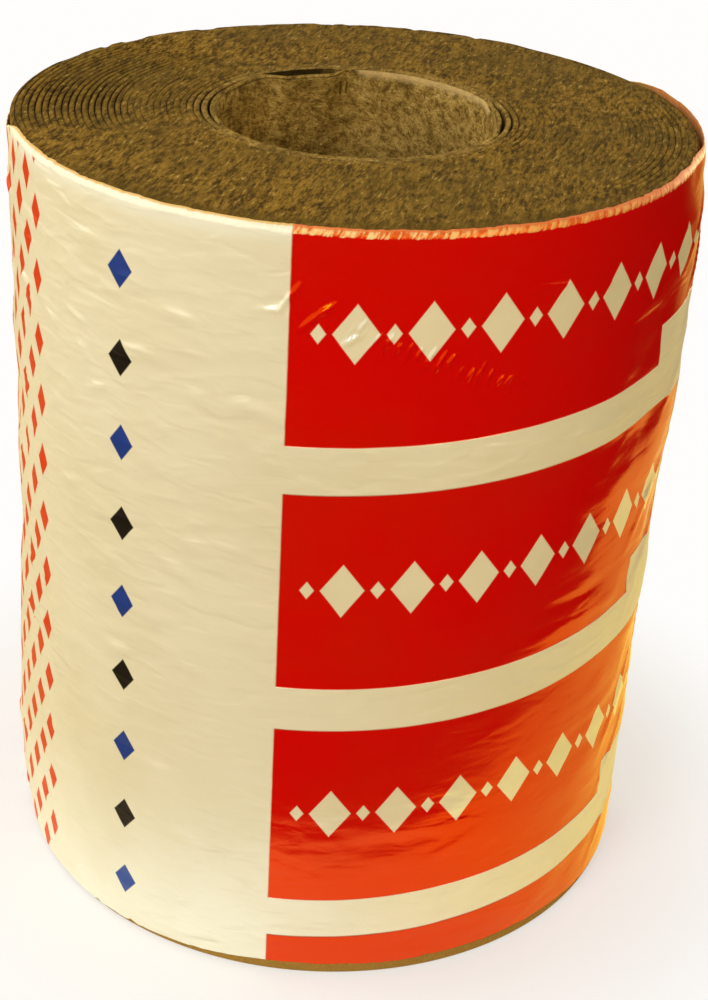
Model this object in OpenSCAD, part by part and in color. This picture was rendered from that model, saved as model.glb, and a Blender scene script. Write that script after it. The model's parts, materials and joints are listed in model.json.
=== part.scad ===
// Roll of foundation membrane.
// A long strip of bituminous felt is wound tightly round an open bore. The roll stands on its
// end, in a thin printed film that is wrapped round the side and tucked over the upper rim.
// The origin is the middle of the lower end, and +Z runs up the axis of the roll.

/* [Membrane] */
// Width of the strip, which is the height of the standing roll
membrane_w = 333; // [150:1:1000]
// Thickness of the strip
membrane_t = 2.4; // [1.5:0.1:5]
// Number of turns wound one on another
turns = 32; // [8:1:60]
// Air between one turn and the next
turn_gap = 0.2; // [0.1:0.05:0.8]

/* [Bore] */
// Diameter of the open bore
bore_d = 114; // [90:1:240]

/* [Cut ends] */
// Depth of the groove between one turn and the next
groove_depth = 0.9; // [0.3:0.1:2.5]
// Width that is worn off each edge of a turn
edge_wear = 0.5; // [0.1:0.05:0.7]
// Radius of the outermost turn's rim, where the film bends over it
rim_r = 1.9; // [0.5:0.1:4]

/* [Inner end of the strip] */
// Direction of the strip's free inner end, anticlockwise from +X
tail_angle = 98; // [0:1:359]
// Width of the gap behind the free end
tail_gap = 2.6; // [0.5:0.1:4]
// Arc over which the gap behind the free end closes
tail_gap_arc = 40; // [30:1:70]
// Arc over which the step past the free end fades into the bore
tail_step_arc = 57; // [40:1:80]

/* [Wrapper] */
// Thickness of the film, with all its layers
film_t = 0.3; // [0.1:0.05:1]
// Height of bare membrane below the film's lower edge
film_margin = 3; // [1:0.5:30]
// How far the film is tucked over the rim, as an angle round it
film_tuck = 55; // [20:5:60]
// Width of the film's overlap
lap_w = 30; // [5:1:100]
// Direction of the overlap, anticlockwise from +X
lap_angle = 90; // [0:1:359]

/* [Hidden] */
$fn = 96;

bore_r = bore_d / 2;
pitch = membrane_t + turn_gap;
roll_r = bore_r + turns * pitch - turn_gap;

// The rim takes no more of the outermost turn than the wear on its inner edge leaves
rim = min(rim_r, membrane_t - edge_wear);
rim_centre_r = roll_r - rim;
rim_step = 5;

// How far the cuts run past the ends of the roll
overshoot = 1;

// How far below the rim's bend the film's overlap ends
lap_inset = 1;

// Radius of the inner face of a turn, counted outward from the bore
function turn_r(i) = bore_r + i * pitch;

// Points on an arc in the section plane, turned from the +X side of the section
function arc_points(centre, r, from, to) =
    let (count = round(abs(to - from) / rim_step))
    [for (k = [0 : count])
        let (a = from + (to - from) * k / count)
        centre + r * [cos(a), sin(a)]];

// Section of an inner turn's upper end: worn edge, crown, worn edge
function crown(i) = [
    [turn_r(i), membrane_w - groove_depth],
    [turn_r(i) + edge_wear, membrane_w],
    [turn_r(i) + membrane_t - edge_wear, membrane_w],
    [turn_r(i) + membrane_t, membrane_w - groove_depth],
];

// Section of the outermost turn's upper end: worn edge, then the round rim
function rim_crown() = concat(
    [[turn_r(turns - 1), membrane_w - groove_depth]],
    arc_points([rim_centre_r, membrane_w - rim], rim, 90, 0)
);

// Section of the whole upper end, from the bore outward
function upper_end() = concat(
    [for (i = [0 : turns - 2]) each crown(i)],
    rim_crown()
);

// The same end turned over, for the lower end, from the side inward
function lower_end() =
    let (upper = upper_end())
    [for (k = [len(upper) - 1 : -1 : 0]) [upper[k][0], membrane_w - upper[k][1]]];

// Crescent in plan on the +X side: it reaches w past radius r on the axis and closes at arc
module crescent(r, w, arc) {
    shift = w / (1 - cos(arc));
    translate([shift, 0])
        circle(r + w - shift);
}

// One quarter of the plan on the +X side: side 1 is anticlockwise of the axis, -1 is clockwise
module quarter(side) {
    translate([0, side > 0 ? 0 : -roll_r])
        square(roll_r);
}

// Plan of the air round the strip's free inner end, which points along +X here.
// The innermost turn stays whole as it covers the gap, and its cut end faces the step.
module tail_air() {
    cover = membrane_t + turn_gap / 2;
    difference() {
        intersection() {
            crescent(bore_r + cover, tail_gap, tail_gap_arc);
            quarter(1);
        }
        circle(bore_r + cover);
    }
    intersection() {
        crescent(bore_r, cover + tail_gap, tail_step_arc);
        quarter(-1);
    }
}

// The wound strip: one turned solid with its bore, the turns showing on both ends
module membrane_roll() {
    color([0.36, 0.30, 0.17])
    difference() {
        rotate_extrude()
            polygon(concat(upper_end(), lower_end()));
        rotate(tail_angle)
            translate([0, 0, -overshoot])
                linear_extrude(membrane_w + 2 * overshoot)
                    tail_air();
    }
}

// The printed film: a sleeve tucked over the rim, with its overlap down the back
module wrapper() {
    shoulder_z = membrane_w - rim;
    film_r = roll_r + film_t;
    lap_arc = lap_w / film_r * 180 / PI;
    color([0.80, 0.13, 0.08])
    union() {
        rotate_extrude()
            polygon(concat(
                [[roll_r, film_margin], [film_r, film_margin]],
                arc_points([rim_centre_r, shoulder_z], rim + film_t, 0, film_tuck),
                arc_points([rim_centre_r, shoulder_z], rim, film_tuck, 0)
            ));
        rotate(lap_angle - lap_arc / 2)
            rotate_extrude(angle = lap_arc)
                translate([roll_r + film_t / 2, film_margin])
                    square([1.5 * film_t, shoulder_z - film_margin - lap_inset]);
    }
}

membrane_roll();
wrapper();
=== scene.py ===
"""Looks of a standing roll of foundation membrane, sleeved in a thin printed film.

The membrane is one long strip of bituminous felt wound in a spiral, and the film is one thin
closed shell round it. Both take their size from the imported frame. Lengths are in metres.
"""
import json
import math
import random

import bpy
import numpy as np
from mathutils import Matrix, Vector, noise


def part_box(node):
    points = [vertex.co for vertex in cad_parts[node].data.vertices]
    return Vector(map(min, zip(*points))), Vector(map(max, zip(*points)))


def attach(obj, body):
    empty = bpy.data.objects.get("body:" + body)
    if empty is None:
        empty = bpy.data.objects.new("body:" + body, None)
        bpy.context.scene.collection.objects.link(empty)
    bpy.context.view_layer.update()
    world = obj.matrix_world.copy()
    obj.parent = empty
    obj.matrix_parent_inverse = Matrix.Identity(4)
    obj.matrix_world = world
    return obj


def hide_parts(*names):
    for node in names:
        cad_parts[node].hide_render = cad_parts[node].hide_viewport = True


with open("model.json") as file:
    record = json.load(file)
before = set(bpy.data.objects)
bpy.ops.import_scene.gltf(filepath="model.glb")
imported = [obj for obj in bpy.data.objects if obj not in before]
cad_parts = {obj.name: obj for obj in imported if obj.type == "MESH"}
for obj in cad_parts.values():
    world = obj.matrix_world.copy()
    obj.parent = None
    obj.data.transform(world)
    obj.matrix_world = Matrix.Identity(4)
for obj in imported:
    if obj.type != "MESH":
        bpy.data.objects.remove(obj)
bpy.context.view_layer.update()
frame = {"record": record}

MM = 0.001
SEED = 7

# ------------------------ sizes of the roll
MOUNTS = {mount["name"]: mount for mount in frame["record"]["mounts"]}
ROLL_LOW, ROLL_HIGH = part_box("membrane_roll")
FILM_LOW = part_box("wrapper")[0]
ROLL_H = ROLL_HIGH.z - ROLL_LOW.z
ROLL_R = (ROLL_HIGH.x - ROLL_LOW.x) / 2
BORE_R = MOUNTS["bore"]["dims"]["r_mm"] * MM

TURNS = 31                     # full turns, which make 32 layers along one line
STRIP_T = 2.4 * MM
PITCH = (ROLL_R - BORE_R - STRIP_T) / TURNS
HAIR_GAP = 0.04 * MM           # gap that stays where the cut has smeared two turns together
TAIL_ANGLE = math.radians(93)  # where the strip begins in the bore and ends under the film
STATION = 2.6 * MM             # distance between the strip's cross-sections

GROOVE_DEPTH = 1.1 * MM        # between two turns, where the cut leaves them open
RIM_R = 2.8 * MM               # round rim of the outermost turn
RIM_ROOM = 0.3 * MM            # the felt stays this far under the film's lip
LOWER_WEAR = 0.4               # the lower end's grooves and rim have this share of the depth
BORE_ROUND = 1.5 * MM          # round rim of the innermost turn
BORE_TURNS = 1.02              # turns whose inner face is the wall of the bore
CUT_WANDER = 0.4 * MM          # how far the cut wanders up and down over the end
TURN_WANDER = 0.3 * MM         # and from turn to turn, where the grooves are open
WANDER_EASE = 14 * MM          # the rim is cut true, and the wander fades over this width
FLOOR_GAP = 0.05 * MM          # the lower end's crowns stand this far above the floor
COLLAR_H = 15 * MM             # the turns bend away from each other over this height only
COLLAR_BOW = 0.1               # share of the tail's bow that is left at the collar's foot
TAIL_BOW = 7.6 * MM            # how far the free inner end stands away from the wall behind it
TAIL_BOW_ARC = math.radians(40)
TAIL_TAPER_ARC = math.radians(16)
TAIL_TIP = 0.12                # share of the thickness left at the tip of the tail
LOOSE_TURNS = 3.0              # the innermost turns have sprung apart a little
LOOSE_SHIFT = 3.0 * MM
CHIP_DEPTH = 2.4 * MM          # chips in the outermost turns
CHIP_TURNS = 2.6
SLACK = 0.55 * MM              # room between the outermost turn and the film, for its creases

# ------------------------ sizes of the film
FILM_T = 0.3 * MM
DEEPEST_CREASE = -0.3 * MM     # creases sink into the slack, but no further than this
FILM_MARGIN = FILM_LOW.z - ROLL_LOW.z
COARSE_STEP = math.radians(0.95)
FINE_STEP = math.radians(0.21)  # columns over the crumpled patch
BACK_STEP = math.radians(3.0)
FRONT_HALF = math.radians(105)
CRUMPLE_LEFT, CRUMPLE_RIGHT = math.radians(-11), math.radians(26)
CRUMPLE_LOW, CRUMPLE_HIGH = 267 * MM, 310 * MM
CRUMPLE_FALL = 0.39            # the row of pinches falls this much to the right
CRUMPLE_LINE = 298 * MM        # and stands this high in front
COARSE_ROW = 2.0 * MM
FINE_ROW = 0.6 * MM
SHOULDER_ROWS = 14
LIP_ROWS = 12
LIP_LENGTH = 3.9 * MM
LIP_TUCK = 73                  # degrees round the rim
SHOULDER_Z = ROLL_HIGH.z - RIM_R
POCKET_RIGHT, POCKET_LEFT = 3.6 * MM, 3.4 * MM
SOFT_CREASES, DENTS, PULLED_LINES, FLANK_FOLDS = 430, 72, 24, 15
COLLAR_FLARE, SLACK_FLARE = 1.6 * MM, 0.8 * MM
SLACK_DROP = 4.5 * MM          # the film's lip hangs this much lower on the left
BACK_DROP = 1.2 * MM           # and this much round the back and where it is torn
EDGE_EASE = 20 * MM            # creases fade over this height at the film's two edges
EDGE_PULL = 12 * MM            # the foot's ragged line and the flare reach this far
LAP_W = 30 * MM                # the film overlaps itself down the back
LAP_STEP = math.radians(0.15)

# ------------------------ the print on the film
PRINT_PERIOD = 105 * MM
PRINT_WIDTH = math.pi * ROLL_R  # the print repeats twice round the roll
PRINT_LEFT = -233 * MM
PRINT_SKEW = 0.047             # the print climbs this much to the right
PANEL_H = 85.4 * MM
BAND_H = PRINT_PERIOD - PANEL_H
PANEL_FOOT = 40 * MM           # height of the lowest whole panel's lower edge
PANEL_LEFT = -19.4 * MM
NOTCH_LEFT = 154 * MM
NOTCH_H = 17 * MM
INK_EDGE = 0.35 * MM           # how soft the edge of the ink is

# ------------------------ zones round the roll
# Each has a middle, a half width and a fade in degrees; these are anticlockwise from +X
GROOVES_LEFT, GROOVES_RIGHT = (168, 19, 24), (-10, 14, 24)
SPRUNG_LEFT, SPRUNG_RIGHT = (176, 20, 22), (2, 12, 14)
CHIPS_RIGHT, CHIPS_BACK = (42, 12, 7), (108, 42, 15)
# The two rim zones mark where a highlight is painted along the bore's upper rim.
RIM_HIGHLIGHT_RIGHT, RIM_HIGHLIGHT_LEFT = (52, 34, 14), (185, 15, 15)
LIP_BACK, LIP_TORN, LIP_COLLAR = (117, 58, 12), (43, 9, 8), (6, 15, 10)
LIP_SLACK, LIP_SHORT = (178, 11, 7), (178, 17, 5)
# and these are counted from -Y
WAVES_RIGHT, WAVES_LEFT = (80, 25, 20), (-85, 14, 18)
LOOSE_RIGHT, LOOSE_LEFT = (96, 14, 26), (-96, 14, 26)
FOOT_RAISED, FOOT_LOW = (14, 20, 40), (-42, 20, 18)

# ------------------------ looks
STREAK_ANGLE = math.radians(78)  # the felt's fibres lie along this line
# The same value also paints shade in the gap behind the tail.
BARE = 1.5                     # value of "edge" where dark bitumen shows bare
WORLD_LIGHT = 0.2              # strength at which the world lights the roll
# The LIT_ values shape a glowing card that paints the film's reflection of a lit floor.
LIT_MIDDLE = (-0.015, 0.327, 0.0)
LIT_R = 0.549                  # the round of floor that the film mirrors as lit
LIT_DIAGONAL = -0.292          # and its straight border on the left, as x + y
LIT_EDGE = 0.012
LIT_LEFT, LIT_FRONT = (1.0, 0.75, 0.30, 1.0), (0.88, 0.86, 0.80, 1.0)
LIT_RIGHT, LIT_BACK = (1.0, 0.70, 0.10, 1.0), (0.9, 0.55, 0.10, 1.0)
LIT_FLANK, LIT_GRAZING = (1.0, 0.58, 0.08, 1.0), (1.0, 0.72, 0.18, 1.0)

# ------------------------ camera
CAMERA_BACK = 5.325 * ROLL_R   # in front of the axis
CAMERA_ABOVE = 1.6125 * ROLL_R  # above the upper end
TURN_RIGHT, LOOK_DOWN, LEAN = 0.0116, 0.4976, 0.0575  # in radians
SENSOR, LENS = 36.0, 67.89     # in millimetres


def smooth(x):
    """Smooth step from 0 to 1 as x goes from 0 to 1."""
    x = min(max(x, 0.0), 1.0)
    return x * x * (3 - 2 * x)


def toward(start, end, share):
    return start + (end - start) * share


def wobble(x, y=0.0, z=0.0):
    """Smooth noise from about -1 to 1."""
    return noise.noise(Vector((x, y, z)))


def arc_share(angle, middle, half, fade):
    """1 within half of the middle angle, 0 beyond half + fade."""
    away = abs((angle - middle + math.pi) % math.tau - math.pi)
    return smooth((half + fade - away) / fade)


def zone(angle, middle, half, fade):
    """The same, with the zone in degrees."""
    return arc_share(angle, math.radians(middle), math.radians(half), math.radians(fade))


# ------------------------ meshes
def new_piece(name, verts, faces):
    mesh = bpy.data.meshes.new(name)
    mesh.from_pydata(verts, [], faces)
    mesh.validate()
    mesh.update()
    piece = bpy.data.objects.new(name, mesh)
    bpy.context.scene.collection.objects.link(piece)
    return piece


def add_values(piece, name, values):
    """Give the piece's points one number each, which its material reads by name."""
    piece.data.attributes.new(name, "FLOAT", "POINT").data.foreach_set("value", values)


def placed(points, angle):
    """Points of a section, given as (radius, height), in space at this angle from +X."""
    return [(radius * math.cos(angle), radius * math.sin(angle), z) for radius, z in points]


def shade(piece, sharp_angle):
    mesh = piece.data
    mesh.polygons.foreach_set("use_smooth", [True] * len(mesh.polygons))
    mesh.set_sharp_from_angle(angle=math.radians(sharp_angle))


# ------------------------ the membrane's shape
def roll_radius(angle):
    """Outer radius of the wound membrane: it falls by one turn where the strip ends."""
    part = ((angle - TAIL_ANGLE) / math.tau) % 1.0
    step_arc = 0.06
    sink = 1 - part if part > step_arc else (1 - step_arc) * smooth(part / step_arc)
    return ROLL_R - PITCH * sink


def turns_along(length):
    """Turns after which this much of the strip is wound."""
    return (math.sqrt(BORE_R ** 2 + PITCH * length / math.pi) - BORE_R) / PITCH


def sprung_share(angle):
    """Where the innermost turns have sprung apart."""
    return max(0.6 * zone(angle, *SPRUNG_LEFT), zone(angle, *SPRUNG_RIGHT))


def groove_share(angle, s):
    """Share of a groove that the cut leaves open after s turns; elsewhere it smears the turns."""
    outer = smooth((s - 12) / 3)   # from the 12th turn on
    inner = smooth((5.5 - s) / 2)  # and in the innermost five
    patchy = 0.8 + 0.6 * wobble(2.5 * math.cos(angle), 2.5 * math.sin(angle), 0.3 * s)
    left = zone(angle, *GROOVES_LEFT) * max(outer, 0.75 * inner, 0.42) * patchy
    open_right = 0.24 + 0.3 * smooth((s - 23) / 3) + 0.25 * smooth((9 - s) / 3)
    right = zone(angle, *GROOVES_RIGHT) * open_right * patchy
    sprung = sprung_share(angle) * smooth((3.4 - s) / 1.2)
    return min(max(left, right, sprung, 0.04), 1.0)


def tail_bow(s):
    """How far the free inner end stands away from the wall, after s turns."""
    part = s * math.tau / TAIL_BOW_ARC
    return TAIL_BOW * smooth(part / 0.24) * smooth((1 - part) / 0.25)


def tail_taper(s):
    """Share of the full thickness after s turns: the tail lies thin against the wall behind it."""
    return toward(TAIL_TIP, 1.0, smooth(s * math.tau / TAIL_TAPER_ARC))


def strip_inner_radius(s, angle):
    """Radius of the strip's inner face after s turns from its free inner end."""
    loose = max(0.0, 1 - s / LOOSE_TURNS) ** 2
    return BORE_R + PITCH * (s + 1 - tail_taper(s)) - LOOSE_SHIFT * loose * sprung_share(angle)


def strip_thickness(s, share):
    """Thickness of the strip's end: the cut smears it over the gap where no groove is open."""
    ragged = min(1 + 0.05 * wobble(s * 9.0, 3.1), 1.0)
    outermost = smooth((s - TURNS + 1.1) / 0.1)
    full = PITCH - HAIR_GAP - (PITCH - STRIP_T) * share
    return full * ragged * tail_taper(s) - SLACK * outermost


def rim_drop(radius, angle):
    """How far the round rim lies below the end of the roll at this radius."""
    edge = roll_radius(angle)
    past = min(max(0.0, radius - (edge - RIM_R)), RIM_R)
    under_lip = smooth((radius - edge + 8 * MM) / (4 * MM))
    return RIM_R - math.sqrt(RIM_R ** 2 - past ** 2) + RIM_ROOM * under_lip


def chip(s, angle):
    """Depth of the chips in the outermost turns, where the film doesn't cover them."""
    outer = smooth((s - TURNS + CHIP_TURNS) / 0.9)
    bare = max(zone(angle, *CHIPS_RIGHT), 0.4 * zone(angle, *CHIPS_BACK))
    bite = 0.3 + 0.7 * smooth((wobble(angle * 14, 6.0, s * 1.5) + 0.05) / 0.3)
    return CHIP_DEPTH * outer * bare * bite


def cut_wander(s, angle, inner, share):
    """How far the cut of the upper end wanders up or down."""
    x, y = inner * math.cos(angle), inner * math.sin(angle)
    wide = CUT_WANDER * wobble(x * 35, y * 35, 5.0)
    narrow = TURN_WANDER * share * wobble(s * 31.0, 1.9, 2.0)
    return (wide + narrow) * smooth((ROLL_R - inner) / WANDER_EASE)


ACROSS = (0.0, 0.16, 0.5, 0.84, 1.0)      # points over the strip's thickness
SINK = (1.0, 0.2, 0.0, 0.2, 1.0)          # share of the groove's depth there
BORE_BEVEL = (1.0, 0.45, 0.08, 0.0, 0.0)  # share of the bore's round rim there


def strip_section(s):
    """Cross-section of the strip after s turns, as (radius, height) points, anticlockwise."""
    angle = TAIL_ANGLE + s * math.tau
    share = groove_share(angle, s)
    inner = strip_inner_radius(s, angle)
    thickness = strip_thickness(s, share)
    bow = tail_bow(s)
    end_z = ROLL_HIGH.z + cut_wander(s, angle, inner, share) - chip(s, angle)
    groove = GROOVE_DEPTH * share * (1 + 0.4 * wobble(s * 17.0, 8.0))
    bevel = BORE_ROUND * smooth(1.2 - s)
    top, bottom = [], []
    for part, sink, slope in zip(ACROSS, SINK, BORE_BEVEL):
        radius = inner + part * thickness
        drop = max(groove * sink, rim_drop(radius, angle))
        top.append((radius - bow, end_z - drop - bevel * slope))
        bottom.append((radius, ROLL_LOW.z + FLOOR_GAP + LOWER_WEAR * drop))
    collar_z = ROLL_HIGH.z - COLLAR_H
    outer_side = (inner + thickness - COLLAR_BOW * bow, collar_z)
    inner_side = (inner - COLLAR_BOW * bow, collar_z)
    return bottom + [outer_side] + top[::-1] + [inner_side]


def strip_edge(s):
    """How much dark shows at each point of the cross-section after s turns: bare bitumen in the
    open grooves, partly painted shade there, and painted shade in the gap behind the free tail.
    """
    paler = 0.6 if s < 4 else 1.0
    share = groove_share(TAIL_ANGLE + s * math.tau, s) * paler
    past_tip = s % 1.0
    # Painted shade in the gap where the tail stands off the wall behind it.
    behind_tail = smooth((TAIL_BOW_ARC / math.tau - past_tip) / 0.01)
    behind_tail *= smooth((past_tip - 0.02) / 0.02) * (s < 2)
    bitumen_or_gap_shade = max(share, BARE * behind_tail)
    on_bore = s < BORE_TURNS
    inner = 0.0 if on_bore else bitumen_or_gap_shade
    outer = bitumen_or_gap_shade if on_bore else share
    bottom = [share, 0.3 * share, 0.0, 0.3 * share, share]
    top = [outer, 0.3 * outer, 0.0, 0.3 * inner, inner]
    outer_side = BARE * smooth((s - 0.02) / 0.02)
    inner_side = BARE * smooth((s - BORE_TURNS) / 0.02)
    if s > TURNS - 1:
        bottom[-1] = outer_side = top[0] = 0.0
    return bottom + [outer_side] + top + [inner_side]


def strip_wall(s):
    """How much paler the felt is at each point of the cross-section, on and near the bore: partly
    the membrane's own face, partly painted light that brightens the bore; values near 2 paint a
    highlight along its upper rim.
    """
    angle = TAIL_ANGLE + s * math.tau
    on_bore = 1.0 if s < BORE_TURNS else 0.0
    ring = 0.65 * smooth((3.4 - s) / 2.2)
    # Painted highlight along the bore's upper rim.
    rim_highlight = 1.2 + 0.8 * max(zone(angle, *RIM_HIGHLIGHT_RIGHT), 0.7 * zone(angle, *RIM_HIGHLIGHT_LEFT))
    bottom = [on_bore] + [0.0] * (len(ACROSS) - 1)
    top = [ring] * (len(ACROSS) - 1) + [max(rim_highlight * on_bore, ring)]
    return bottom + [0.0] + top + [on_bore]


def wound_strip():
    """The membrane: one closed strip swept along its spiral."""
    length = math.pi * TURNS * (2 * BORE_R + PITCH * TURNS)
    count = round(length / STATION)
    verts, faces, edge, wall = [], [], [], []
    for i in range(count + 1):
        s = turns_along(length * i / count)
        verts += placed(strip_section(s), TAIL_ANGLE + s * math.tau)
        edge += strip_edge(s)
        wall += strip_wall(s)
    n = len(verts) // (count + 1)
    for i in range(count):
        for k in range(n):
            a, b = i * n + k, i * n + (k + 1) % n
            faces.append((a, b, b + n, a + n))
    faces.append(tuple(range(n))[::-1])
    faces.append(tuple(count * n + k for k in range(n)))
    piece = new_piece("wound_membrane", verts, faces)
    add_values(piece, "edge", edge)
    add_values(piece, "wall", wall)
    shade(piece, sharp_angle=50)
    return piece


# ------------------------ the film's shape
def film_columns():
    """Angles of the film's columns from -Y: close together at the front, crumples and lap."""
    lap = LAP_W / ROLL_R / 2
    return np.concatenate([
        np.arange(-FRONT_HALF, CRUMPLE_LEFT, COARSE_STEP),
        np.arange(CRUMPLE_LEFT, CRUMPLE_RIGHT, FINE_STEP),
        np.arange(CRUMPLE_RIGHT, FRONT_HALF, COARSE_STEP),
        np.arange(FRONT_HALF, math.pi - lap - LAP_STEP, BACK_STEP),
        np.array([math.pi - lap - LAP_STEP, math.pi - lap]),
        np.arange(math.pi - lap + BACK_STEP, math.pi + lap, BACK_STEP),
        np.array([math.pi + lap, math.pi + lap + LAP_STEP]),
        np.arange(math.pi + lap + BACK_STEP, math.tau - FRONT_HALF - LAP_STEP, BACK_STEP),
    ])


def film_rows():
    """Heights of the film's rows up to the rim, close together over the crumpled patch."""
    foot = ROLL_LOW.z + FILM_MARGIN
    return np.concatenate([
        np.arange(foot, CRUMPLE_LOW, COARSE_ROW),
        np.arange(CRUMPLE_LOW, CRUMPLE_HIGH, FINE_ROW),
        np.linspace(CRUMPLE_HIGH, SHOULDER_Z, SHOULDER_ROWS),
    ])


def film_radius(angle):
    """Radius of the film's outer face: it follows the outermost turn and laps over itself."""
    lap = arc_share(angle, math.pi / 2, LAP_W / ROLL_R / 2, LAP_STEP)
    return roll_radius(angle) + FILM_T * (1 + lap)


def scattered_creases(rng):
    """Soft creases all round: (angle from -Y, height, slope, length, width, rise)."""
    creases = []
    for _ in range(SOFT_CREASES):
        angle = rng.uniform(-math.pi, math.pi)
        pale = angle * ROLL_R < PANEL_LEFT
        if not pale and rng.random() < 0.7:
            continue
        creases.append((
            angle,
            rng.uniform(0.02, 0.96) * ROLL_H,
            rng.gauss(-0.08, 0.22) if pale else rng.gauss(0.05, 0.12),
            rng.uniform(9, 30) * MM,
            rng.uniform(2.0, 4.2) * MM,
            rng.uniform(0.15, 0.65) * MM * rng.choice((1, 1, -0.6)) * (1.0 if pale else 0.6),
        ))
    return creases


def curled_dents(rng):
    """Small dents with a sharper edge, on the left of the pale column."""
    return [(
        math.radians(rng.uniform(-76, -20)),
        rng.uniform(0.05, 0.93) * ROLL_H,
        rng.gauss(-0.2, 0.5),
        rng.uniform(8, 16) * MM,
        rng.uniform(1.4, 2.2) * MM,
        rng.uniform(0.5, 0.95) * MM * rng.choice((1, 1, -0.8)),
    ) for _ in range(DENTS)]


def tension_lines(rng):
    """Long shallow lines where the film is pulled round the right side."""
    return [(
        math.radians(rng.uniform(40, 110)),
        rng.uniform(0.05, 0.8) * ROLL_H,
        rng.uniform(-0.18, 0.10),
        rng.uniform(40, 110) * MM,
        rng.uniform(1.4, 2.8) * MM,
        rng.uniform(0.12, 0.30) * MM * rng.choice((1, -1)),
    ) for _ in range(PULLED_LINES)]


def single_lines():
    """A few long thin lines, each where one shows: degrees, heights and lengths in millimetres."""
    lines = (
        (4, 121, 0.0, 90, 0.9, 0.16),
        (2, 221, 0.02, 60, 1.2, -0.14),
        (47, 169, -0.03, 62, 1.6, -0.3),
        (26, 167, 0.08, 46, 1.4, 0.2),
        (15, 252, 0.12, 40, 1.6, 0.3),
        (26, 247, 0.3, 22, 1.5, 0.22),
        (-36, 199, -0.25, 34, 1.4, 0.4),
        (14, 70, 0.05, 44, 3.0, -0.3),
        (24, 64, 0.45, 30, 2.6, 0.25),
        (22, 323, 0.02, 18, 1.8, -1.1),
        (33, 316, -0.14, 34, 1.8, -0.5),
        (32, 309, -0.10, 24, 1.6, 0.4),
        (45, 304, 0.10, 32, 1.8, 0.25),
    )
    return [(math.radians(a), z * MM, slope, length * MM, width * MM, rise * MM)
            for a, z, slope, length, width, rise in lines]


def crumple_row(rng):
    """A row of small slanting pinches that runs down across the uppermost red panel."""
    pinches = []
    for arc in (2, 5, *range(11, 68, 4)):
        height = CRUMPLE_LINE - CRUMPLE_FALL * arc * MM + rng.uniform(-2, 2) * MM
        pinches.append((
            arc * MM / ROLL_R,
            height,
            rng.uniform(1.0, 2.4),
            rng.uniform(5, 11) * MM,
            rng.uniform(0.50, 0.75) * MM,
            rng.uniform(0.4, 0.8) * MM,
        ))
    at_corner = (
        (-26, 302, 0.2, 7, 0.9),
        (-20, 307, 1.4, 14, 1.1),
        (-10, 301, 0.9, 16, 1.2),
        (3, 293, 0.6, 9, 0.9),
    )
    for arc, height, slope, length, rise in at_corner:
        pinches.append((arc * MM / ROLL_R, height * MM, slope, length * MM, 1.1 * MM, rise * MM))
    hollows = [
        (math.radians(2), ROLL_H - 38 * MM, -0.46, 66 * MM, 2.2 * MM, -0.3 * MM),
        (math.radians(18), ROLL_H - 58 * MM, -0.40, 50 * MM, 1.8 * MM, -0.3 * MM),
    ]
    return pinches + hollows


def flank_folds(rng):
    """Folds that run up and round the right side, where the film stands off the roll."""
    return [(
        math.radians(rng.uniform(66, 88)),
        (30 + 20 * step + rng.uniform(-6, 6)) * MM,
        rng.uniform(0.6, 1.3),
        rng.uniform(32, 54) * MM,
        rng.uniform(1.5, 2.2) * MM,
        rng.uniform(0.5, 1.0) * MM,
    ) for step in range(FLANK_FOLDS)]


def relief(angles, heights):
    """Relief of the film's creases on a grid of columns and rows; each has one steeper side."""
    rng = random.Random(SEED)
    arc = angles[:, None] * ROLL_R
    z = heights[None, :]
    out = np.zeros((len(angles), len(heights)))
    creases = scattered_creases(rng) + curled_dents(rng) + tension_lines(rng)
    creases += single_lines() + crumple_row(rng) + flank_folds(rng)
    for angle, height, slope, length, width, rise in creases:
        du = arc - angle * ROLL_R
        du = (du + math.pi * ROLL_R) % (math.tau * ROLL_R) - math.pi * ROLL_R
        dz = z - height
        norm = math.hypot(1.0, slope)
        along = (du + slope * dz) / norm
        off = (dz - slope * du) / norm + 0.12 * along ** 2 / length
        side = np.where(off > 0, 0.7, 1.5) * width
        out += rise * np.exp(-(off / side) ** 2 - (2 * along / length) ** 4)
    return out


def soft_waves(front_angle, z):
    """Long soft undulations of the film, stronger at its two sides."""
    u = front_angle * ROLL_R
    right, left = zone(front_angle, *WAVES_RIGHT), zone(front_angle, *WAVES_LEFT)
    wave = wobble(u * 24, z * 34) * (0.22 + 0.9 * max(right, left))
    fine = wobble(u * 60, z * 110, 4.0) * (0.06 + 0.26 * right)
    return (wave + fine) * MM


def hump(z, middle, half):
    """Smooth hump over the height: 1 at its middle."""
    return math.exp(-((z - middle) / half) ** 2)


def pockets(front_angle, z):
    """How far the film stands off the roll at its two sides, where it is loose."""
    high = 0.3 * smooth((z - 105 * MM) / (50 * MM)) + 0.7 * smooth((z - 185 * MM) / (55 * MM))
    low = smooth((150 * MM - z) / (70 * MM))
    ridges = hump(z, 185 * MM, 22 * MM) + 0.7 * hump(z, 300 * MM, 26 * MM)
    right = POCKET_RIGHT * high * zone(front_angle, *LOOSE_RIGHT)
    left = (POCKET_LEFT * low + 0.4 * POCKET_LEFT * ridges) * zone(front_angle, *LOOSE_LEFT)
    return right + left


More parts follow.
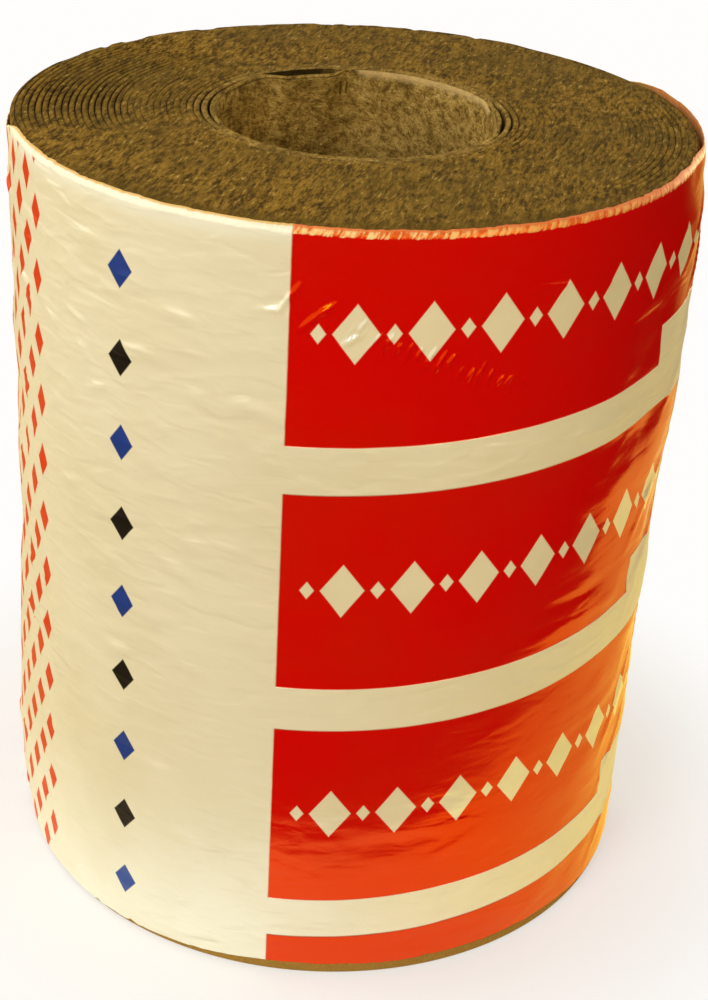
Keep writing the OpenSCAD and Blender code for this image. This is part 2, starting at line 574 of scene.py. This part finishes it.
def lip_shape(front_angle):
    """The film's lip at one angle: its length, tuck, flare and how low it ends."""
    angle = front_angle - math.pi / 2
    ragged = wobble(front_angle * 11, 2.0)
    fine = wobble(front_angle * 55, 2.0)
    back, torn = zone(angle, *LIP_BACK), zone(angle, *LIP_TORN)
    collar, slack = zone(angle, *LIP_COLLAR), zone(angle, *LIP_SLACK)
    length = toward(LIP_LENGTH, 1.3 * MM, back) + (0.8 * ragged + 0.6 * fine) * MM
    length = toward(length, 0.6 * MM, max(torn, zone(angle, *LIP_SHORT)))
    tuck = toward(LIP_TUCK + 7 * ragged, 55, back)
    tuck = toward(tuck, 16 + 6 * ragged, collar)
    flare = COLLAR_FLARE * collar + SLACK_FLARE * slack
    low = max(BACK_DROP * max(back, torn), SLACK_DROP * slack)
    return length, math.radians(tuck), flare, low


def foot_height(front_angle):
    """How high the film's ragged foot stands above its nominal line."""
    raised, low = zone(front_angle, *FOOT_RAISED), zone(front_angle, *FOOT_LOW)
    notch = max(0.0, wobble(front_angle * 34, 0, 3.5)) ** 2
    return (2.6 * raised - 1.3 * low + 0.5 * wobble(front_angle * 9, 0, 1.5) + 1.6 * notch) * MM


def film_wall(front_angle, rows, creases, radius, flare, low):
    """One column of the film's outer face up to the rim, as (radius, height) points."""
    rise = foot_height(front_angle)
    points = []
    for z, crease in zip(rows, creases):
        above, below = z - rows[0], SHOULDER_Z - z
        ease = min(1.0, below / EDGE_EASE, 0.3 + above / EDGE_EASE)
        bulge = (crease + soft_waves(front_angle, z) + pockets(front_angle, z)) * ease
        if bulge < 0:
            bulge = DEEPEST_CREASE * math.tanh(bulge / DEEPEST_CREASE)
        bulge += flare * smooth(1 - below / EDGE_PULL)
        shift = rise * max(0.0, 1 - above / EDGE_PULL) - low * smooth(1 - below / EDGE_EASE)
        points.append((radius + bulge, z + shift))
    return points


def film_lip(front_angle, radius, length, tuck, flare, low):
    """The column's lip: it bends round the rim as far as its tuck, and then runs straight."""
    middle = radius + flare - RIM_R - FILM_T
    points = []
    for k in range(1, LIP_ROWS + 1):
        share = k / LIP_ROWS
        pucker = 0.26 * wobble(front_angle * 60, share * 1.5, 9.0)
        pucker += 0.12 * wobble(front_angle * 170, share)
        reach = RIM_R + FILM_T + pucker * share * MM
        turned = min(share * length / reach, tuck)
        straight = share * length - turned * reach
        points.append((
            middle + reach * math.cos(turned) - straight * math.sin(turned),
            SHOULDER_Z - low + reach * math.sin(turned) + straight * math.cos(turned),
        ))
    return points


def film_column(front_angle, rows, creases):
    """One column of the film's outer face as (radius, height) points, from the foot to the lip."""
    radius = film_radius(front_angle - math.pi / 2)
    length, tuck, flare, low = lip_shape(front_angle)
    wall = film_wall(front_angle, rows, creases, radius, flare, low)
    return wall + film_lip(front_angle, radius, length, tuck, flare, low)


def inner_face(outer, wall_count, radius):
    """The film's inner face in one column, in few points from the lip back down to the foot."""
    lip_end = len(outer) - 1
    picks = [lip_end, lip_end - LIP_ROWS // 3, lip_end - 2 * LIP_ROWS // 3, wall_count]
    picks += [wall_count - 8, wall_count // 2, 0]
    points = []
    for k in picks:
        r, z = outer[k]
        if k < wall_count:
            points.append((radius - FILM_T + DEEPEST_CREASE, z))
            continue
        before = outer[k - 1]
        after = outer[min(k + 1, lip_end)]
        dr, dz = after[0] - before[0], after[1] - before[1]
        size = math.hypot(dr, dz)
        points.append((r - FILM_T * dz / size, z + FILM_T * dr / size))
    return points


def film_shell():
    """The film: one closed thin shell, tucked over the upper rim."""
    angles, rows = film_columns(), film_rows()
    creases = relief(angles, rows)
    verts, faces, lip, collar = [], [], [], []
    for i, front_angle in enumerate(angles):
        angle = front_angle - math.pi / 2
        outer = film_column(front_angle, rows, creases[i])
        inner = inner_face(outer, len(rows), film_radius(angle))
        verts += placed(outer + inner, angle)
        lip += [max(0, k - len(rows) + 1) / LIP_ROWS for k in range(len(outer))]
        # The inner face counts as lip, so it takes the lip's paler colours: painted light on its
        # shaded side.
        lip += [1.0] * len(inner)
        collar += [zone(angle, *LIP_COLLAR)] * len(outer + inner)
    n = len(verts) // len(angles)
    for i in range(len(angles)):
        following = (i + 1) % len(angles)
        for k in range(n):
            up = (k + 1) % n
            faces.append((i * n + k, following * n + k, following * n + up, i * n + up))
    piece = new_piece("film_wrapper", verts, faces)
    add_values(piece, "lip", lip)
    add_values(piece, "collar", collar)
    shade(piece, sharp_angle=60)
    return piece


# ------------------------ node helpers
class Graph:
    """Builds one node tree: each call adds a node and returns its output socket."""

    def __init__(self, tree):
        self.tree = tree
        tree.nodes.clear()

    def node(self, kind, **settings):
        made = self.tree.nodes.new(kind)
        for name, value in settings.items():
            setattr(made, name, value)
        return made

    def feed(self, socket, value):
        """Link an output to the socket, or set the socket's own value."""
        if isinstance(value, bpy.types.NodeSocket):
            self.tree.links.new(value, socket)
        elif value is not None:
            socket.default_value = value

    def feed_all(self, made, *values):
        for socket, value in zip(made.inputs, values):
            self.feed(socket, value)
        return made

    def place(self):
        """The point's place in the roll's own frame, in metres."""
        return self.node("ShaderNodeTexCoord").outputs["Object"]

    def attribute(self, name):
        return self.node("ShaderNodeAttribute", attribute_name=name).outputs["Fac"]

    def separate(self, vector):
        return self.feed_all(self.node("ShaderNodeSeparateXYZ"), vector).outputs

    def combine(self, *parts):
        return self.feed_all(self.node("ShaderNodeCombineXYZ"), *parts).outputs[0]

    def vector(self, operation, *values):
        made = self.feed_all(self.node("ShaderNodeVectorMath", operation=operation), *values)
        return made.outputs["Value" if operation in ("LENGTH", "DISTANCE") else "Vector"]

    def math(self, operation, *values, clamp=False):
        made = self.node("ShaderNodeMath", operation=operation, use_clamp=clamp)
        return self.feed_all(made, *values).outputs[0]

    def times(self, *values):
        product = values[0]
        for value in values[1:]:
            product = self.math("MULTIPLY", product, value)
        return product

    def blend(self, *pairs):
        """Sum of values, each times its weight."""
        total = None
        for value, weight in pairs:
            part = self.math("MULTIPLY", value, weight)
            total = part if total is None else self.math("ADD", total, part)
        return total

    def mix(self, share, low, high, blend="MIX"):
        """Colour from low to high by the share; 6 and 7 are the node's colour sockets."""
        made = self.node("ShaderNodeMix", data_type="RGBA", blend_type=blend)
        self.feed(made.inputs[0], share)
        self.feed(made.inputs[6], low)
        self.feed(made.inputs[7], high)
        return made.outputs[2]

    def spread(self, value, low, high, to_low=0.0, to_high=1.0):
        """Smooth step: to_low below low, to_high above high."""
        made = self.node("ShaderNodeMapRange", interpolation_type="SMOOTHSTEP")
        for name, entry in (("Value", value), ("From Min", low), ("From Max", high),
                            ("To Min", to_low), ("To Max", to_high)):
            self.feed(made.inputs[name], entry)
        return made.outputs[0]

    def turned(self, vector, angle):
        """The vector turned about the third axis."""
        made = self.node("ShaderNodeMapping")
        self.feed(made.inputs["Vector"], vector)
        made.inputs["Rotation"].default_value = (0, 0, angle)
        return made.outputs[0]

    def noise(self, vector, scale, detail=2.0, rough=0.5, distortion=0.0):
        made = self.node("ShaderNodeTexNoise")
        self.feed(made.inputs["Vector"], vector)
        for name, value in (("Scale", scale), ("Detail", detail), ("Roughness", rough),
                            ("Distortion", distortion)):
            made.inputs[name].default_value = value
        return made.outputs["Fac"]

    def drawn_out(self, vector, scale, **settings):
        """Noise with its own scale along each axis."""
        made = self.node("ShaderNodeMapping")
        self.feed(made.inputs["Vector"], vector)
        made.inputs["Scale"].default_value = scale
        return self.noise(made.outputs[0], 1.0, **settings)

    def bump(self, height, distance):
        made = self.node("ShaderNodeBump")
        made.inputs["Distance"].default_value = distance
        self.feed(made.inputs["Height"], height)
        return made.outputs[0]

    def emission(self, colour, strength=1.0):
        return self.feed_all(self.node("ShaderNodeEmission"), colour, strength).outputs[0]

    def principled(self, **inputs):
        made = self.node("ShaderNodeBsdfPrincipled")
        for name, value in inputs.items():
            self.feed(made.inputs[name.replace("_", " ")], value)
        return made.outputs[0]

    def surface(self, shader, output="ShaderNodeOutputMaterial"):
        self.feed(self.node(output).inputs["Surface"], shader)


def new_material(name):
    material = bpy.data.materials.new(name)
    material.use_nodes = True
    return material, Graph(material.node_tree)


def linear(red, green, blue):
    """An sRGB colour from 0 to 255 as a linear one."""
    def one(v):
        v /= 255
        return v / 12.92 if v <= 0.04045 else ((v + 0.055) / 1.055) ** 2.4
    return (one(red), one(green), one(blue), 1.0)


# ------------------------ felt
FELT_DARK, FELT_LIGHT = linear(75, 53, 13), linear(172, 132, 50)
# The bore's wall: partly the membrane's own face, partly painted light that brightens the bore.
WALL_DARK, WALL_LIGHT = linear(138, 106, 46), linear(210, 172, 90)
FELT_PATCH, FELT_FLECK, FELT_PIT = linear(108, 86, 34), linear(220, 190, 120), linear(46, 33, 8)
# Painted shade behind the film's lip, and painted light on the felt at the foot.
FELT_LIP_SHADE, FELT_LIT_FOOT = linear(100, 77, 27), linear(190, 148, 68)
FELT_RIM_HIGHLIGHT, BITUMEN_AND_GROOVE_SHADE = linear(244, 208, 138), linear(46, 33, 10)


def felt_fibres(g, place, on_wall):
    """Streaks, clumps and fibres along one line; on the wall of the bore they run down it."""
    z = g.separate(place)[2]
    lean = g.combine(g.times(z, on_wall, 0.6), None, g.times(z, on_wall, 1.2))
    along = g.turned(g.vector("ADD", lean, place), -STREAK_ANGLE)
    streaks = g.drawn_out(along, (160, 600, 330), detail=4, rough=0.62)
    clumps = g.drawn_out(along, (90, 250, 160), detail=3, rough=0.5)
    fibres = g.drawn_out(along, (290, 1400, 560), detail=3, rough=0.6)
    return streaks, clumps, fibres


def lip_shade_mask(g, x, y):
    """Mask of the painted shade: a darker band on the felt behind the film's lip in front."""
    radius = g.math("SQRT", g.math("ADD", g.times(x, x), g.times(y, y)))
    near_rim = g.spread(radius, ROLL_R - 13 * MM, ROLL_R - 6 * MM)
    return g.times(near_rim, g.spread(y, -0.11, -0.05, 1.0, 0.0), 0.6)


def felt_colour(g, place, wall, on_wall, grain, fibres, tone):
    """The felt's colour: mottled fibres, then what lies over them in turn."""
    x, y, z = g.separate(place)
    dark, light = g.mix(on_wall, FELT_DARK, WALL_DARK), g.mix(on_wall, FELT_LIGHT, WALL_LIGHT)
    patches = g.noise(place, 20, detail=3, rough=0.55)
    pits = g.times(g.spread(grain, 0.43, 0.32), g.math("MULTIPLY_ADD", on_wall, -0.35, 0.65))
    colour = g.mix(g.spread(tone, 0.40, 0.60), dark, light)
    for share, layer in (
        (g.spread(patches, 0.35, 0.7, 0.0, 0.45), FELT_PATCH),
        (g.times(g.spread(grain, 0.56, 0.70), g.spread(fibres, 0.46, 0.6), 0.75), FELT_FLECK),
        (pits, FELT_PIT),
        # Painted shade behind the film's lip.
        (lip_shade_mask(g, x, y), FELT_LIP_SHADE),
        # Painted light: the felt is lighter near the floor, where it lies in shade.
        (g.spread(z, 8 * MM, 12 * MM, 0.7, 0.0), FELT_LIT_FOOT),
        # Painted highlight on the bore's upper rim.
        (g.times(g.spread(wall, 1.7, 1.95), 0.8), FELT_RIM_HIGHLIGHT),
        # Bare bitumen in the open grooves, partly painted shade there and in the gap behind the
        # tail.
        (g.math("MINIMUM", g.times(g.attribute("edge"), 0.55), 0.85), BITUMEN_AND_GROOVE_SHADE),
    ):
        colour = g.mix(share, colour, layer)
    return colour


def felt_material():
    """Matt mottled felt: paler on the bore's wall, partly painted light; dark where bitumen is
    bare, partly painted shade in the grooves and behind the tail; a painted highlight on the
    bore's rim, painted light at the foot and painted shade behind the film's lip.
    """
    material, g = new_material("bituminous_felt")
    place, wall = g.place(), g.attribute("wall")
    on_wall = g.math("MINIMUM", wall, 1.0)
    streaks, clumps, fibres = felt_fibres(g, place, on_wall)
    lumps = g.spread(g.noise(place, 260, detail=5, rough=0.7), 0.25, 0.75)
    lumpy = g.math("MINIMUM", g.math("MULTIPLY_ADD", wall, 0.3, 0.15), 0.8)
    grain = g.math("MULTIPLY_ADD", g.math("SUBTRACT", lumps, streaks), lumpy, streaks)
    tone = g.blend((grain, 0.40), (clumps, 0.26), (fibres, 0.34))
    colour = felt_colour(g, place, wall, on_wall, grain, fibres, tone)
    roughness = g.spread(fibres, 0.3, 0.7, 0.8, 0.95)
    g.surface(g.principled(Base_Color=colour, Roughness=roughness, Specular_IOR_Level=0.06,
                           Normal=g.bump(tone, 0.0028)))
    return material


# ------------------------ film and its print
CREAM, CREAM_PAINTED_LIGHT, SOILING = linear(238, 223, 182), linear(252, 247, 224), linear(224, 208, 164)
RED, SCARLET = linear(215, 4, 4), linear(224, 58, 10)
BLUE, BLACK = linear(29, 50, 127), linear(25, 18, 9)
CREAM_GLOSS, RED_GLOSS = (0.65, 0.9, 1.0, 1.0), (1.0, 0.22, 0.0, 1.0)
BLUE_GLOSS, BLACK_GLOSS = (0.2, 0.4, 0.9, 1.0), (0.2, 0.15, 0.1, 1.0)
# Lip colours: partly film paled by stretching over the rim, partly a painted highlight.
LIP_CREAM, LIP_PALE, LIP_GOLD = linear(246, 238, 204), linear(250, 216, 148), linear(240, 172, 92)
LIP_SALMON = linear(216, 92, 36)
CUT_CREAM, CUT_RED = linear(234, 184, 88), linear(230, 122, 62)


def between(g, value, low, high, edge=INK_EDGE):
    """Mask with soft edges: 1 where low < value < high."""
    above = g.spread(value, low - edge, low + edge)
    return g.times(above, g.spread(value, high - edge, high + edge, 1.0, 0.0))


def lozenge(g, away_u, away_v, half_u, half_v):
    """Mask of a lozenge with soft edges, from the distances to its middle."""
    reach = g.math("ADD", g.math("DIVIDE", away_u, half_u), g.math("DIVIDE", away_v, half_v))
    edge = INK_EDGE / half_u
    return g.spread(reach, 1 - edge, 1 + edge, 1.0, 0.0)


def from_middles(g, value, first, pitch):
    """Distance to the nearest of a row of middles."""
    return g.math("PINGPONG", g.math("SUBTRACT", value, first), pitch / 2)


def panel_mask(g, u, rise):
    """The red panels, each with a notch low on its right."""
    panel = g.times(g.spread(u, PANEL_LEFT - INK_EDGE, PANEL_LEFT + INK_EDGE),
                    between(g, rise, BAND_H / 2, BAND_H / 2 + PANEL_H))
    notch_top = BAND_H / 2 + NOTCH_H
    notch = g.times(g.spread(u, NOTCH_LEFT - INK_EDGE, NOTCH_LEFT + INK_EDGE),
                    g.spread(rise, notch_top - INK_EDGE, notch_top + INK_EDGE, 1.0, 0.0))
    return g.times(panel, g.math("SUBTRACT", 1.0, notch))


def panel_row(g, u, rise):
    """A row of lozenges, large and small in turn, along the middle of the panels."""
    pitch = 27 * MM
    first = PANEL_LEFT + 24 * MM
    away_v = g.math("ABSOLUTE", g.math("SUBTRACT", rise, PRINT_PERIOD / 2 + 2 * MM))
    large = lozenge(g, from_middles(g, u, first, pitch), away_v, 8.5 * MM, 11.5 * MM)
    small = lozenge(g, from_middles(g, u, first + pitch / 2, pitch), away_v, 2.8 * MM, 3.8 * MM)
    inside = g.spread(u, PANEL_LEFT + 7 * MM, PANEL_LEFT + 8 * MM)
    return g.times(g.math("MAXIMUM", large, small), inside)


def column_string(g, u, z):
    """A string of lozenges up the pale column, and the share of it that is black."""
    first, pitch = 28 * MM, PRINT_PERIOD / 3
    away_u = g.math("ABSOLUTE", g.math("SUBTRACT", u, -88 * MM))
    string = lozenge(g, away_u, from_middles(g, z, first, pitch), 6.0 * MM, 7.6 * MM)
    black = g.math("GREATER_THAN", from_middles(g, z, first, 2 * pitch), pitch / 2)
    return string, black


def side_lattice(g, u, z):
    """Small lozenges in half-drop rows over the left part of the print."""
    first, pitch_u, pitch_v = -143 * MM, 19 * MM, PRINT_PERIOD / 4
    rows = [lozenge(g, from_middles(g, u, first - shift * pitch_u, pitch_u),
                    from_middles(g, z, shift * pitch_v, pitch_v), 4.2 * MM, 7.6 * MM)
            for shift in (0.0, 0.5)]
    part = between(g, u, PRINT_LEFT, -138 * MM, 0.1 * MM)
    return g.times(part, g.math("MAXIMUM", *rows))


def print_with_painted_light(g, around, skewed_z, z):
    """The film's printed colour with painted light on the cream, the share of it that is a panel,
    and the tint of its gloss.
    """
    u = g.math("WRAP", around, PRINT_LEFT + PRINT_WIDTH, PRINT_LEFT)
    rise = g.math("WRAP", g.math("SUBTRACT", skewed_z, PANEL_FOOT - BAND_H / 2), PRINT_PERIOD, 0.0)
    panel = panel_mask(g, u, rise)
    inked = g.times(panel, g.math("SUBTRACT", 1.0, panel_row(g, u, rise)))
    lattice = side_lattice(g, u, skewed_z)
    string, black = column_string(g, u, skewed_z)
    # Painted light: the cream is paler towards the foot, and just under the rim, where it is
    # partly film paled by stretching and partly a painted highlight.
    painted_light = g.math("ADD", g.spread(z, SHOULDER_Z - 6 * MM, SHOULDER_Z, 0.0, 0.5),
                    g.spread(z, 5 * MM, 100 * MM, 0.55, 0.0))
    colour = g.mix(inked, g.mix(painted_light, CREAM, CREAM_PAINTED_LIGHT), RED)
    colour = g.mix(lattice, colour, SCARLET)
    colour = g.mix(string, colour, g.mix(black, BLUE, BLACK))
    gloss = g.mix(g.math("MAXIMUM", inked, lattice), CREAM_GLOSS, RED_GLOSS)
    gloss = g.mix(string, gloss, g.mix(black, BLUE_GLOSS, BLACK_GLOSS))
    return colour, panel, gloss


def lip_colour(g, colour, panel, puckers, around):
    """Over the rim the film is paler, partly film paled by stretching and partly a painted
    highlight; on the collar and the shaded inner face the paler warm colours are painted light.
    Its cut edge is a thin warm line.
    """
    lip = g.attribute("lip")
    ragged = g.times(g.math("SUBTRACT", puckers, 0.5), g.spread(lip, 0.0, 0.06), 0.9)
    over_rim = g.spread(g.math("ADD", lip, ragged), 0.04, 0.20)
    at_cut = g.times(g.spread(g.math("MULTIPLY_ADD", ragged, 0.4, lip), 0.62, 0.82), 0.9)
    # Painted light: on the collar the lip and the shaded inner face take the paler salmon colours.
    collar = g.times(g.attribute("collar"), g.spread(puckers, 0.25, 0.55, 1.0, 0.6))
    red_here = g.math("MAXIMUM", panel, collar)
    pale = g.mix(g.spread(around, 10 * MM, 75 * MM), LIP_PALE, LIP_GOLD)
    salmon = g.mix(g.spread(puckers, 0.40, 0.60), LIP_SALMON, pale)
    colour = g.mix(over_rim, colour, g.mix(red_here, LIP_CREAM, salmon))
    return g.mix(at_cut, colour, g.mix(red_here, CUT_CREAM, CUT_RED))


def crushed_row(g, flat, around, z):
    """Fine crushed lines along the row of pinches."""
    lines = g.drawn_out(g.turned(flat, -1.02), (120, 760, 1), detail=2, rough=0.6)
    row = g.math("MULTIPLY_ADD", around, CRUMPLE_FALL, z)
    near_row = between(g, row, CRUMPLE_LINE - 4 * MM, CRUMPLE_LINE + 3 * MM, 3 * MM)
    return g.times(lines, near_row, between(g, around, -16 * MM, 70 * MM, 8 * MM))


def film_relief(g, place, flat, around, z, panel, puckers):
    """Height of the film's finest relief: creases, dents, crushed lines, pores and the lip."""
    creases = g.drawn_out(flat, (30, 75, 1), detail=2, rough=0.5, distortion=0.6)
    dents = g.drawn_out(flat, (55, 150, 1), detail=1.5, distortion=0.5)
    dents = g.times(dents, g.math("MULTIPLY_ADD", panel, -0.8, 1.0))
    pores = g.noise(place, 700, detail=2)
    lip = g.times(g.math("SUBTRACT", puckers, 0.5), g.spread(g.attribute("lip"), 0.0, 0.3))
    crushed = crushed_row(g, flat, around, z)
    return g.blend((creases, 0.3), (dents, 1.0), (crushed, 0.3), (pores, 0.03), (lip, 0.6))


def film_material():
    """Glossy printed film, whose gloss takes the tint of each ink."""
    material, g = new_material("printed_film")
    place, lip = g.place(), g.attribute("lip")
    x, y, z = g.separate(place)
    around = g.math("MULTIPLY", g.math("ARCTAN2", x, g.math("MULTIPLY", y, -1.0)), ROLL_R)
    flat = g.combine(around, z)
    puckers = g.drawn_out(g.turned(flat, 0.6), (520, 150, 1), detail=3, rough=0.6)
    clouds = g.noise(place, 18, detail=3)

    skewed_z = g.math("MULTIPLY_ADD", x, -PRINT_SKEW, z)
    colour, panel, gloss = print_with_painted_light(g, around, skewed_z, z)
    soiled = g.mix(1.0, colour, SOILING, "MULTIPLY")
    colour = g.mix(g.spread(clouds, 0.35, 0.75, 0.0, 0.25), colour, soiled)
    colour = lip_colour(g, colour, panel, puckers, around)

    height = film_relief(g, place, flat, around, z, panel, puckers)
    roughness = g.math("MULTIPLY_ADD", panel, -0.27, g.spread(clouds, 0.3, 0.7, 0.38, 0.47))
    roughness = g.math("MULTIPLY_ADD", lip, 0.35, roughness)
    g.surface(g.principled(Base_Color=colour, Roughness=roughness, Normal=g.bump(height, 0.0010),
                           IOR=1.75, Specular_IOR_Level=g.math("MULTIPLY_ADD", lip, -0.7, 1.0),
                           Specular_Tint=gloss))
    return material


# ------------------------ stage, light and camera
def seen_directly(g):
    """1 for camera, glossy and transmission rays."""
    path = g.node("ShaderNodeLightPath").outputs
    mirrored = g.math("MAXIMUM", path["Is Glossy Ray"], path["Is Transmission Ray"])
    return g.math("MAXIMUM", path["Is Camera Ray"], mirrored)


def wide_card(name, z):
    """A large flat stage piece."""
    reach = 6.0
    corners = [(-reach, -reach, z), (reach, -reach, z), (reach, reach, z), (-reach, reach, z)]
    piece = new_piece(name, corners, [(0, 1, 2, 3)])
    return piece


def pale_floor():
    """A pale floor that keeps the shadow round the roll and is plain white further off."""
    floor = wide_card("floor", ROLL_LOW.z)
    material, g = new_material("pale_floor")
    away = g.spread(g.vector("LENGTH", g.place()), 0.9 * ROLL_R, 1.9 * ROLL_R, 0.55, 1.0)
    matt = g.feed_all(g.node("ShaderNodeBsdfDiffuse"), linear(250, 248, 244))
    white = g.emission((1.0, 0.985, 0.965, 1.0))
    both = g.node("ShaderNodeMixShader")
    g.feed_all(both, g.times(away, seen_directly(g)), matt.outputs[0], white)
    g.surface(both.outputs[0])
    floor.data.materials.append(material)


def lit_round(g, place, x, y):
    """Mask of the glowing card's lit round in front, which a straight border cuts off on the left;
    a painted shadow dims it close to the roll.
    """
    edge = g.spread(x, -0.22, -0.06, 8 * LIT_EDGE, LIT_EDGE)
    away = g.vector("DISTANCE", place, LIT_MIDDLE)
    inside = g.spread(away, g.math("SUBTRACT", LIT_R, edge), g.math("ADD", LIT_R, edge), 1.0, 0.0)
    start, end = g.math("SUBTRACT", LIT_DIAGONAL, edge), g.math("ADD", LIT_DIAGONAL, edge)
    right_of_border = g.spread(g.math("ADD", x, y), start, end)
    behind = g.math("MULTIPLY_ADD", g.math("ABSOLUTE", x), -0.9, y)
    in_front = g.spread(behind, 0.06, 0.14, 1.0, 0.0)
    shaded = g.spread(g.vector("LENGTH", place), ROLL_R, 1.5 * ROLL_R, 0.9, 1.0)
    return g.times(inside, right_of_border, in_front, shaded)


def lit_flank(g, x, y):
    """Mask of the two glowing stretches behind the roll, which its sides mirror as a painted
    reflection.
    """
    slant = g.math("DIVIDE", g.math("ABSOLUTE", x), g.math("MAXIMUM", y, 0.05))
    return g.times(g.spread(y, 0.12, 0.3), g.spread(slant, 0.12, 0.25),
                   g.spread(slant, 0.7, 1.0, 1.0, 0.0), 0.6)


def lit_grazing(g, x, y):
    """Mask of the glowing strip past the roll's right edge, which the film mirrors at a low slant
    as a painted reflection.
    """
    slant = g.math("DIVIDE", g.math("SUBTRACT", x, ROLL_R), g.math("MAXIMUM", y, 0.05))
    across = g.times(g.spread(slant, 0.0, 0.1), g.spread(slant, 0.6, 1.1, 1.0, 0.0))
    return g.times(across, g.spread(y, 0.10, 0.25), g.spread(y, 0.40, 0.80, 1.0, 0.2))


def lit_colour(g, x, y, flank, grazing):
    """Colour of the glowing card's painted lit floor: near white in front, and warmer to the right
    and behind.
    """
    white = g.mix(g.spread(x, -0.20, -0.08), LIT_LEFT, LIT_FRONT)
    amber = g.mix(g.spread(y, -0.06, 0.22), LIT_RIGHT, LIT_BACK)
    colour = g.mix(g.spread(x, -0.02, 0.14), white, amber)
    colour = g.mix(g.math("MULTIPLY", flank, 1.6, clamp=True), colour, LIT_FLANK)
    return g.mix(g.times(grazing, 0.9), colour, LIT_GRAZING)


def glowing_reflection_card():
    """A glowing card that only glossy rays see: a painted reflection of a lit floor in the film,
    warm on the right.
    """
    card = wide_card("glowing_reflection_card", ROLL_LOW.z + 1 * MM)
    material, g = new_material("glowing_reflection_card")
    place = g.place()
    x, y = g.separate(place)[:2]
    flank, grazing = lit_flank(g, x, y), lit_grazing(g, x, y)
    lit = g.math("MAXIMUM", lit_round(g, place, x, y), flank)
    lit = g.math("MAXIMUM", lit, g.times(grazing, 0.6))
    strength = g.math("SUBTRACT", g.spread(x, -0.22, -0.04, 0.6, 2.0),
                      g.spread(x, 0.03, 0.25, 0.0, 0.6))
    strength = g.math("ADD", strength, g.times(flank, g.spread(x, -0.1, 0.0, 1.4, 0.0)))
    facing = g.node("ShaderNodeLayerWeight").outputs["Facing"]
    strength = g.times(lit, strength, g.spread(facing, 0.08, 0.28, 0.15, 1.0))
    g.surface(g.emission(lit_colour(g, x, y, flank, grazing), strength))
    card.data.materials.append(material)
    for ray in ("camera", "diffuse", "transmission", "volume_scatter", "shadow"):
        setattr(card, f"visible_{ray}", False)


def soft_world():
    world = bpy.data.worlds.new("soft_world")
    world.use_nodes = True
    bpy.context.scene.world = world
    g = Graph(world.node_tree)
    strength = g.math("MULTIPLY_ADD", seen_directly(g), 1.0 - WORLD_LIGHT, WORLD_LIGHT)
    back = g.feed_all(g.node("ShaderNodeBackground"), (1.0, 0.985, 0.96, 1.0), strength)
    g.surface(back.outputs[0], "ShaderNodeOutputWorld")


def area_light(name, place, aim, size, power, colour):
    """A square lamp of this width, turned towards its aim."""
    lamp = bpy.data.lights.new(name, "AREA")
    lamp.size = size
    lamp.energy = power
    lamp.color = colour
    holder = bpy.data.objects.new(name, lamp)
    bpy.context.scene.collection.objects.link(holder)
    holder.location = place
    holder.rotation_euler = (Vector(aim) - Vector(place)).to_track_quat("-Z", "Y").to_euler()


def studio_lights():
    middle, top = (0.0, 0.0, ROLL_H / 2), (0.0, 0.0, ROLL_H)
    area_light("key", (-0.70, -1.20, 1.12), middle, 0.6, 12.0, (1.0, 0.98, 0.96))
    area_light("fill", (1.05, -1.2, 0.9), middle, 0.9, 8.5, (1.0, 0.82, 0.44))
    area_light("side", (-1.4, 0.1, 0.6), middle, 0.8, 8.6, (1.0, 0.92, 0.72))
    area_light("rear", (1.0, 1.4, 0.4), middle, 0.9, 11.0, (1.0, 0.86, 0.45))
    area_light("overhead", (-0.35, 0.15, 1.4), top, 0.5, 2.4, (1.0, 0.97, 0.92))


def photo_camera():
    """The camera: it stands in front of the roll, looks down on it and leans a little."""
    level = math.cos(LOOK_DOWN)
    forward = Vector((math.sin(TURN_RIGHT) * level, math.cos(TURN_RIGHT) * level,
                      -math.sin(LOOK_DOWN)))
    level_right = Vector((math.cos(TURN_RIGHT), -math.sin(TURN_RIGHT), 0.0))
    level_up = level_right.cross(forward)
    right = math.cos(LEAN) * level_right + math.sin(LEAN) * level_up
    up = -math.sin(LEAN) * level_right + math.cos(LEAN) * level_up
    data = bpy.data.cameras.new("camera")
    data.sensor_width = SENSOR
    data.lens = LENS
    camera = bpy.data.objects.new("camera", data)
    bpy.context.scene.collection.objects.link(camera)
    turn = Matrix((right, up, -forward)).transposed().to_4x4()
    place = Matrix.Translation((0.0, -CAMERA_BACK, ROLL_HIGH.z + CAMERA_ABOVE))
    camera.matrix_world = place @ turn
    bpy.context.scene.camera = camera


def dress(piece, material, node):
    piece.data.materials.append(material)
    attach(piece, "root")
    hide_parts(node)


photo_camera()
studio_lights()
soft_world()
pale_floor()
glowing_reflection_card()
dress(wound_strip(), felt_material(), "membrane_roll")
dress(film_shell(), film_material(), "wrapper")
bpy.context.scene.view_settings.view_transform = "Standard"
